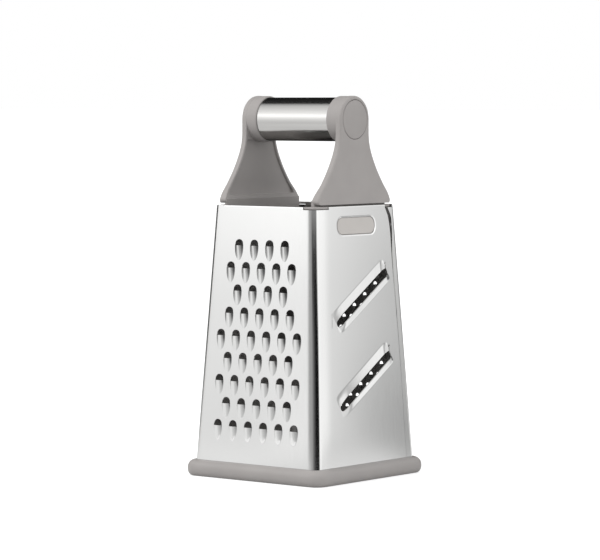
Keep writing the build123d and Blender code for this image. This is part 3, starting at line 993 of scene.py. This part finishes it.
def cap_skin(body, handle):
    """Disc that closes a bracket's face, its rim slightly rounded."""
    skin = Skin()
    face = body.top_width / 2 - handle.face_setback
    radius = handle.cap_diameter / 2
    axis = body.top_height + handle.axis_rise
    back, rim = face - 0.002, radius - 0.0005
    profile = [(face, rim), (face - 0.00012, radius - 0.0002), (face - 0.0004, radius)]
    profile += [(back, radius), (back, rim)]
    turned(skin, profile, axis)
    for x in (face, back):
        skin.flat(lambda y, z, x=x: Vector((x, y, z)), circle_for_cap(axis, rim))
    return skin


def circle_for_cap(axis, radius, segments=96):
    """Circle whose points match a turned body's."""
    angles = [-2 * math.pi * step / segments for step in range(segments)]
    return [(radius * math.sin(a), axis + radius * math.cos(a)) for a in angles]


# ---------------------------------------------------------------- materials


def add_node(tree, kind, values=None, **settings):
    """A node with its settings; values are numbers, or sockets of other nodes to join."""
    made = tree.nodes.new(kind)
    for name, value in settings.items():
        setattr(made, name, value)
    for name, value in (values or {}).items():
        if isinstance(value, bpy.types.NodeSocket):
            tree.links.new(value, made.inputs[name])
        else:
            made.inputs[name].default_value = value
    return made


def new_material(name):
    """An empty material with its output, ready for nodes."""
    material = bpy.data.materials.get(name) or bpy.data.materials.new(name)
    material.use_nodes = True
    tree = material.node_tree
    tree.nodes.clear()
    return material, tree, add_node(tree, "ShaderNodeOutputMaterial")


def grain(tree, stretch, per_mm, detail):
    """Noise with so many grains to the millimetre, drawn out along an axis."""
    where = add_node(tree, "ShaderNodeTexCoord").outputs["Object"]
    drawn = add_node(tree, "ShaderNodeMapping", {"Vector": where, "Scale": stretch})
    values = {"Vector": drawn.outputs["Vector"], "Scale": per_mm / MM, "Detail": detail}
    return add_node(tree, "ShaderNodeTexNoise", values).outputs["Fac"]


def spread(tree, value, low, high):
    """The middle of a noise's range spread between two values."""
    values = {"Value": value, "From Min": 0.3, "From Max": 0.7, "To Min": low, "To Max": high}
    return add_node(tree, "ShaderNodeMapRange", values).outputs["Result"]


def rolled_steel(name, colour, gloss):
    """Rolled stainless: blurred mirror with faint upright rolling lines and a soft roll wave."""
    material, tree, out = new_material(name)
    lines = grain(tree, (1.0, 1.0, 0.02), 1.4, 3.0)  # lines 0.7 mm apart, finer ones don't show
    wave = grain(tree, (1.0, 1.0, 0.25), 0.028, 1.0)  # waves 36 mm wide
    fine = add_node(tree, "ShaderNodeMath", {0: lines, 1: 0.04}, operation="MULTIPLY").outputs[0]
    height = add_node(tree, "ShaderNodeMath", {0: fine, 1: wave}, operation="ADD").outputs[0]
    values = {"Height": height, "Distance": 0.02 * MM, "Strength": 0.35}
    bump = add_node(tree, "ShaderNodeBump", values)
    shader = add_node(
        tree,
        "ShaderNodeBsdfPrincipled",
        {
            "Base Color": (*colour, 1.0),
            "Metallic": 1.0,
            "Roughness": spread(tree, lines, gloss - 0.02, gloss + 0.02),
            "Normal": bump.outputs["Normal"],
        },
    )
    tree.links.new(shader.outputs["BSDF"], out.inputs["Surface"])
    return material


def brushed_steel(finish):
    """Brushed tube: reflection drawn out by fine lines along its length."""
    material, tree, out = new_material("brushed_stainless_tube")
    lines = grain(tree, (0.03, 1.0, 1.0), 2.2, 3.0)  # brush lines 0.45 mm apart
    values = {"Height": lines, "Distance": 0.02 * MM, "Strength": 0.06}
    bump = add_node(tree, "ShaderNodeBump", values)
    shader = add_node(
        tree,
        "ShaderNodeBsdfPrincipled",
        {
            "Base Color": (*finish.tube, 1.0),
            "Metallic": 1.0,
            # painted shade: the dark edge tint darkens the tube's reflection where it is seen at
            # grazing angles
            "Specular Tint": (0.12, 0.12, 0.12, 1.0),  # the tube's edges are seen dark
            "Roughness": spread(tree, lines, finish.tube_gloss - 0.03, finish.tube_gloss + 0.03),
            "Normal": bump.outputs["Normal"],
        },
    )
    tree.links.new(shader.outputs["BSDF"], out.inputs["Surface"])
    return material


def moulded_plastic(name, colour, roughness):
    """Moulded plastic: dull sheen over a fine spark-eroded grain, faintly cloudy in its colour."""
    material, tree, out = new_material(name)
    even = (1.0, 1.0, 1.0)
    clouds = grain(tree, even, 0.06, 2.0)  # clouds 17 mm wide
    speck = grain(tree, even, 3.2, 2.0)  # eroded grain of 0.3 mm
    value = spread(tree, clouds, 0.97, 1.03)
    shade = add_node(tree, "ShaderNodeHueSaturation", {"Color": (*colour, 1.0), "Value": value})
    values = {"Height": speck, "Distance": 0.03 * MM, "Strength": 0.25}
    bump = add_node(tree, "ShaderNodeBump", values)
    shader = add_node(
        tree,
        "ShaderNodeBsdfPrincipled",
        {
            "Base Color": shade.outputs["Color"],
            "Roughness": roughness,
            "Specular IOR Level": 0.35,
            "Normal": bump.outputs["Normal"],
        },
    )
    tree.links.new(shader.outputs["BSDF"], out.inputs["Surface"])
    return material


def painted(node, material):
    """Gives a CAD node that stays in view a material in place of its plain one."""
    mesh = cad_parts[node].data
    if not mesh.materials:
        mesh.materials.append(material)
    for index in range(len(mesh.materials)):
        mesh.materials[index] = material


# ---------------------------------------------------------------- stage


def glow(name, levels, strength, flat):
    """Emission that changes round the stage and up its height, or outwards where it lies flat.

    levels holds, for each height or radius in metres, its stops of (degrees round, brightness).
    """
    material, tree, out = new_material(name)
    where = add_node(tree, "ShaderNodeTexCoord").outputs["Object"]
    around = add_node(tree, "ShaderNodeTexGradient", {"Vector": where}, gradient_type="RADIAL")
    if flat:
        up = add_node(tree, "ShaderNodeVectorMath", {0: where}, operation="LENGTH").outputs["Value"]
    else:
        up = add_node(tree, "ShaderNodeSeparateXYZ", {"Vector": where}).outputs["Z"]
    level, below = None, None
    for height, stops in sorted(levels.items()):
        ramp = add_node(tree, "ShaderNodeValToRGB", {"Fac": around.outputs["Fac"]})
        marks = ramp.color_ramp.elements
        while len(marks) < len(stops):
            marks.new(0.5)
        for mark, (turn, value) in zip(marks, stops):
            mark.position = (turn + 90) / 360
            mark.color = (value, value, value, 1.0)
        if level is None:
            level, below = ramp.outputs["Color"], height
            continue
        values = {"Value": up, "From Min": below, "From Max": height}
        rise = add_node(tree, "ShaderNodeMapRange", values, interpolation_type="SMOOTHSTEP")
        values = {0: rise.outputs["Result"], 2: level, 3: ramp.outputs["Color"]}
        level, below = add_node(tree, "ShaderNodeMix", values).outputs[0], height
    shader = add_node(tree, "ShaderNodeEmission", {"Color": level, "Strength": strength})
    tree.links.new(shader.outputs["Emission"], out.inputs["Surface"])
    return material


def stage_object(name, skin, material):
    """A stage mesh, which isn't part of the grater."""
    mesh = skin.solid(name)
    mesh.materials.append(material)
    thing = bpy.data.objects.new(name, mesh)
    bpy.context.scene.collection.objects.link(thing)
    return thing


def seen_level(tree, camera, gloss):
    """A level for the rays that show the background: from the camera, off gloss, through glass."""
    paths = add_node(tree, "ShaderNodeLightPath").outputs
    level = 0.0
    rays = {"Is Camera Ray": camera, "Is Glossy Ray": gloss, "Is Transmission Ray": gloss}
    for ray, most in rays.items():
        part = add_node(tree, "ShaderNodeMath", {0: paths[ray], 1: most}, operation="MULTIPLY")
        values = {0: level, 1: part.outputs[0]}
        level = add_node(tree, "ShaderNodeMath", values, operation="MAXIMUM").outputs[0]
    return level


def white_floor():
    """Plain pale floor that takes the grater's shadow, lifted to white where it is seen."""
    material, tree, out = new_material("pale_floor")
    shader = add_node(
        tree,
        "ShaderNodeBsdfPrincipled",
        {
            "Base Color": (0.55, 0.55, 0.55, 1.0),
            "Roughness": 0.9,
            "Emission Color": (1.0, 1.0, 1.0, 1.0),
            # lifts the lit colour to white, for the camera by more, so that the shadow stays pale
            "Emission Strength": seen_level(tree, 0.62, 0.27),
        },
    )
    tree.links.new(shader.outputs["BSDF"], out.inputs["Surface"])
    skin, reach = Skin(), 60.0
    skin.strip([[(-reach, y, 0.0), (reach, y, 0.0)] for y in (-reach, reach)])
    stage_object("floor", skin, material)


def light_tent(stage):
    """White tent round the grater that only its gloss sees, with a dark gap towards the camera."""
    # the dark band beside the grater's front corner, with the white on its right
    high = [(-27.5, 0.36), (-2, 0.33), (6, 0.03), (35, 0.003), (74, 0.005), (79.5, 0.85)]
    high += [(92, 1.05)]
    low = [(-28.5, 0.36), (0, 0.33), (22, 0.1), (45, 0.004), (82, 0.005), (88, 0.85), (96, 1.05)]
    middle = [(-28.5, 0.36), (-1, 0.34), (25, 0.12), (49, 0.004), (85, 0.005), (91, 0.85)]
    middle += [(97, 1.05)]
    # the dim back with the pale patch that the right edge mirrors, and the dim left side
    back = [(171, 0.1), (176, 0.3), (184, 0.3), (190, 0.05), (213, 0.05), (220, 0.24)]
    back += [(231, 0.24), (238, 0.03), (258, 0.05), (264, 0.3)]
    side = [(-83, 0.3), (-77, 0.03), (-56, 0.03)]
    walls = {
        0.0: [(-90, 0.4), (-77, 0.4), (-56, 0.6), (-50, 0.75), (-41, 0.8), (-37, 0.72), (-33, 1.05)]
        + [*low, (133, 1.0), (137, 0.8), (139.2, 0.46), (142, 0.34), (146, 0.36), (148.5, 1.0)]
        + [(158, 0.9), (165, 0.1), *back],
        0.11: [(-90, 0.3), *side, (-50, 0.8), (-41, 0.85), (-37, 0.88), (-33, 0.98), *middle]
        + [(133, 0.95), (137, 0.8), (139.5, 0.67), (142, 0.52), (147, 0.5), (154, 0.5), (161, 0.1)]
        + back,
        0.21: [(-90, 0.3), *side, (-50, 1.0), (-41, 1.02), (-36, 1.12), (-32.5, 1.15), *high]
        + [(133, 1.05), (137, 0.92), (139.2, 0.78), (142, 0.68), (147, 0.64), (154, 0.6)]
        + [(161, 0.1), *back],
        0.25: [(-90, 0.4), (-83, 0.42), (-77, 0.22), (-56, 0.33), (-50, 1.14), (-41, 1.18)]
        + [(-36, 1.27), (-32.5, 1.3), (-27.5, 0.4), (0, 0.4), (30, 0.35), (60, 0.35), (78, 0.45)]
        + [(84, 0.95), (92, 1.15), (133, 1.1), (137, 0.98), (139.2, 0.87), (142, 0.79), (147, 0.75)]
        + [(154, 0.65), (161, 0.25), (171, 0.25), (176, 0.35), (190, 0.15), (212, 0.12)]
        + [(220, 0.35), (232, 0.35), (240, 0.12), (258, 0.1), (264, 0.33)],
        0.4: [(-90, 0.75), (-60, 1.35), (-45, 1.75), (-32.5, 1.85), (-27.5, 0.55), (-2, 0.5)]
        + [(35, 0.4), (74, 0.5), (79.5, 1.2), (92, 1.5), (130, 1.35), (139, 1.2), (165, 0.75)]
        + [(190, 0.45), (210, 0.05), (219, 0.35), (232, 0.35), (241, 0.03), (255, 0.08)]
        + [(264, 0.45)],
        0.6: [(-90, 0.24), (-80, 0.52), (-65, 0.9), (-45, 1.25), (-30, 1.2), (0, 0.6), (60, 0.45)]
        + [(130, 0.75), (180, 0.45), (210, 0.03), (256, 0.03)],
        0.95: [(-90, 0.26), (-80, 0.55), (-70, 0.8), (-55, 0.95), (-30, 0.75), (0, 0.45), (60, 0.3)]
        + [(130, 0.6), (180, 0.15), (210, 0.03), (256, 0.03)],
    }
    # the floor of the tent, near the ring and further out
    left = [(-90, 0.6), (-75, 0.8), (-60, 0.85), (-48, 0.8)]
    near = [*left, (-36, 0.85), (-20, 0.65), (10, 0.48), (30, 0.4), (60, 0.35), (110, 0.8)]
    near += [(137, 0.72), (141, 0.4), (145.5, 0.4), (148, 1.0), (156, 1.0), (161, 0.6), (168, 0.5)]
    near += [(180, 0.4), (200, 0.15), (215, 0.1), (230, 0.2), (248, 0.5), (265, 0.6)]
    band = [(-20, 0.6), (10, 0.3), (25, 0.08), (45, 0.01), (81, 0.01), (87, 0.8), (100, 0.95)]
    band += [(137, 0.65)]
    dark = [(146, 0.36), (148.5, 1.0), (158, 0.95), (180, 0.4), (200, 0.1), (215, 0.02)]
    dark += [(250, 0.02), (262, 0.1)]
    floor = {
        0.16: near,
        0.36: near,
        0.46: [*left, (-36, 0.95), *band, (141, 0.36), *dark],
        0.66: [*left, (-36, 0.9), *band, (141, 0.34), *dark],
        0.7: walls[0.0],
    }
    for name, profile, levels in (
        ("light_tent", [(0.7, 0.0004), (0.7, 1.1), (0.5, 1.3), (0.05, 1.35)], walls),
        ("tent_floor", [(0.13, 0.0004), (0.7, 0.0004)], floor),
    ):
        skin, rows = Skin(), []
        for radius, height in profile:
            rows.append([Vector((x, y, height)) for x, y in circle(0, 0, radius, 96)])
        skin.strip(rows, closed=True)
        cloth = glow(name + "_cloth", levels, stage.tent, flat=levels is floor)
        part = stage_object(name, skin, cloth)
        for ray in ("camera", "diffuse", "shadow", "transmission", "volume_scatter"):
            setattr(part, "visible_" + ray, False)


def soft_light(name, place, aim, size, power):
    """A big soft light that only the dull surfaces see."""
    lamp = bpy.data.lights.new(name, "AREA")
    lamp.shape, lamp.size, lamp.energy = "DISK", size, power
    thing = bpy.data.objects.new(name, lamp)
    thing.location = place
    thing.rotation_mode = "QUATERNION"
    thing.rotation_quaternion = (Vector(aim) - Vector(place)).to_track_quat("-Z", "Y")
    thing.visible_camera = thing.visible_glossy = False
    bpy.context.scene.collection.objects.link(thing)


def even_sky(stage):
    """White behind everything where it is seen, and an even soft level for the dull surfaces."""
    world = bpy.context.scene.world or bpy.data.worlds.new("sky")
    bpy.context.scene.world = world
    world.use_nodes = True
    tree = world.node_tree
    tree.nodes.clear()
    out = add_node(tree, "ShaderNodeOutputWorld")
    level = add_node(tree, "ShaderNodeMix", {0: seen_level(tree, 1.0, 1.0), 2: stage.sky, 3: 1.0})
    values = {"Color": (1.0, 1.0, 1.0, 1.0), "Strength": level.outputs[0]}
    shader = add_node(tree, "ShaderNodeBackground", values)
    tree.links.new(shader.outputs["Background"], out.inputs["Surface"])


def photo_camera(stage):
    """Camera level with the grater, a little to the right of its front corner."""
    lens = bpy.data.cameras.new("camera")
    lens.sensor_width, lens.lens = 36.0, stage.lens
    lens.clip_start, lens.clip_end = 0.05, 100.0
    thing = bpy.data.objects.new("camera", lens)
    thing.location = stage.camera
    thing.rotation_mode = "QUATERNION"
    thing.rotation_quaternion = (Vector(stage.aim) - Vector(stage.camera)).to_track_quat("-Z", "Y")
    bpy.context.scene.collection.objects.link(thing)
    bpy.context.scene.camera = thing


# ---------------------------------------------------------------- operators and panel


class BuildSheets(bpy.types.Operator):
    """Build the two pressed steel sheets"""

    bl_idname = "grater.build_sheets"
    bl_label = "Steel sheets"

    def execute(self, context):
        body, teeth = context.scene.grater_body, context.scene.grater_teeth
        finish = context.scene.grater_finish
        outside = rolled_steel("rolled_stainless_sheet", finish.steel, finish.steel_gloss)
        # the inner side's darker material is partly painted shade for the body's shaded inside
        inside = rolled_steel("dull_stainless_inside", finish.inside, finish.inside_gloss)
        front = pressed_sheet(body, 0, coarse_features(body, teeth), slicing_features(body, teeth))
        rear = pressed_sheet(body, 180, fine_features(body, teeth), rasp_features(body, teeth))
        for name, skin, node in (
            ("front_sheet", front, "coarse_slicing_sheet"),
            ("rear_sheet", rear, "fine_rasp_sheet"),
        ):
            add_piece(name, skin.sheet(name, body.sheet), (outside, inside), "body_steel", node)
        return {"FINISHED"}


class BuildRing(bpy.types.Operator):
    """Build the plastic ring under the body"""

    bl_idname = "grater.build_ring"
    bl_label = "Base ring"

    def execute(self, context):
        scene = context.scene
        ring = ring_skin(scene.grater_body, scene.grater_handle).solid("foot_ring", 35)
        plastic = moulded_plastic("moulded_grey_plastic", scene.grater_finish.plastic, 0.42)
        add_piece("foot_ring", ring, plastic, "grey_plastic", "base_ring")
        return {"FINISHED"}


class BuildHandle(bpy.types.Operator):
    """Build the brackets, caps and tube, and finish the plugs and screws inside"""

    bl_idname = "grater.build_handle"
    bl_label = "Handle"

    def execute(self, context):
        scene = context.scene
        body, handle, finish = scene.grater_body, scene.grater_handle, scene.grater_finish
        plastic = moulded_plastic("moulded_grey_plastic", finish.plastic, 0.42)
        # the tabs' lighter colour is painted light on the same plastic, which is only smoother there
        smooth_tab_plastic_painted_light = moulded_plastic("polished_grey_plastic", finish.tab, 0.3)
        parts = (
            ("tab_", tab_skin(body), smooth_tab_plastic_painted_light, "handle_bracket_"),
            ("bracket_", bracket_skin(body, handle), plastic, "handle_bracket_"),
            ("cap_", cap_skin(body, handle), plastic, "end_cap_"),
        )
        for side in ("right", "left"):
            for name, skin, material, node in parts:
                shape = skin if side == "right" else mirrored(skin)
                mesh = shape.solid(name + side, 35)
                add_piece(name + side, mesh, material, "grey_plastic", node + side)
        tube = tube_skin(body, handle).solid("handle_tube", 35)
        add_piece("handle_tube", tube, brushed_steel(finish), "tube_steel", "grip_tube")
        hidden = moulded_plastic("moulded_plug_plastic", finish.plug, 0.5)
        screw_steel = rolled_steel("turned_screw_steel", finish.steel, 0.3)
        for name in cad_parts:
            if "plug" in name:
                painted(name, hidden)
            if "screw" in name:
                painted(name, screw_steel)
        return {"FINISHED"}


class BuildStage(bpy.types.Operator):
    """Set the white stage, its light and the camera"""

    bl_idname = "grater.build_stage"
    bl_label = "Stage"

    def execute(self, context):
        stage = context.scene.grater_stage
        white_floor()
        light_tent(stage)
        soft_light("key_light", (-1.1, -1.5, 1.9), (0, 0, 0.1), 1.6, stage.key)
        soft_light("fill_light", (1.7, -0.1, 1.0), (0, 0, 0.15), 1.2, stage.fill)
        even_sky(stage)
        photo_camera(stage)
        context.scene.view_settings.view_transform = "Standard"
        return {"FINISHED"}


class GraterPanel(bpy.types.Panel):
    """Sizes, finish and steps of the grater"""

    bl_idname = "VIEW3D_PT_grater"
    bl_label = "Box Grater"
    bl_space_type = "VIEW_3D"
    bl_region_type = "UI"
    bl_category = "Grater"

    def draw(self, context):
        for label, group in GROUPS.items():
            box = self.layout.box()
            box.label(text=label)
            sizes = getattr(context.scene, group[0])
            for field in group[1].__annotations__:
                box.prop(sizes, field)
        for step in STEPS:
            self.layout.operator(step.bl_idname)


GROUPS = {
    "Body": ("grater_body", GraterBody),
    "Teeth": ("grater_teeth", GraterTeeth),
    "Handle and ring": ("grater_handle", GraterHandle),
    "Finish": ("grater_finish", GraterFinish),
    "Stage": ("grater_stage", GraterStage),
}
STEPS = (BuildSheets, BuildRing, BuildHandle, BuildStage)


def register():
    for name, group in GROUPS.values():
        bpy.utils.register_class(group)
        setattr(bpy.types.Scene, name, bpy.props.PointerProperty(type=group))
    for step in (*STEPS, GraterPanel):
        bpy.utils.register_class(step)


def unregister():
    for step in (GraterPanel, *reversed(STEPS)):
        bpy.utils.unregister_class(step)
    for name, group in reversed(GROUPS.values()):
        delattr(bpy.types.Scene, name)
        bpy.utils.unregister_class(group)


def main():
    register()
    bpy.ops.grater.build_sheets()
    bpy.ops.grater.build_ring()
    bpy.ops.grater.build_handle()
    bpy.ops.grater.build_stage()


if __name__ == "__main__":
    main()
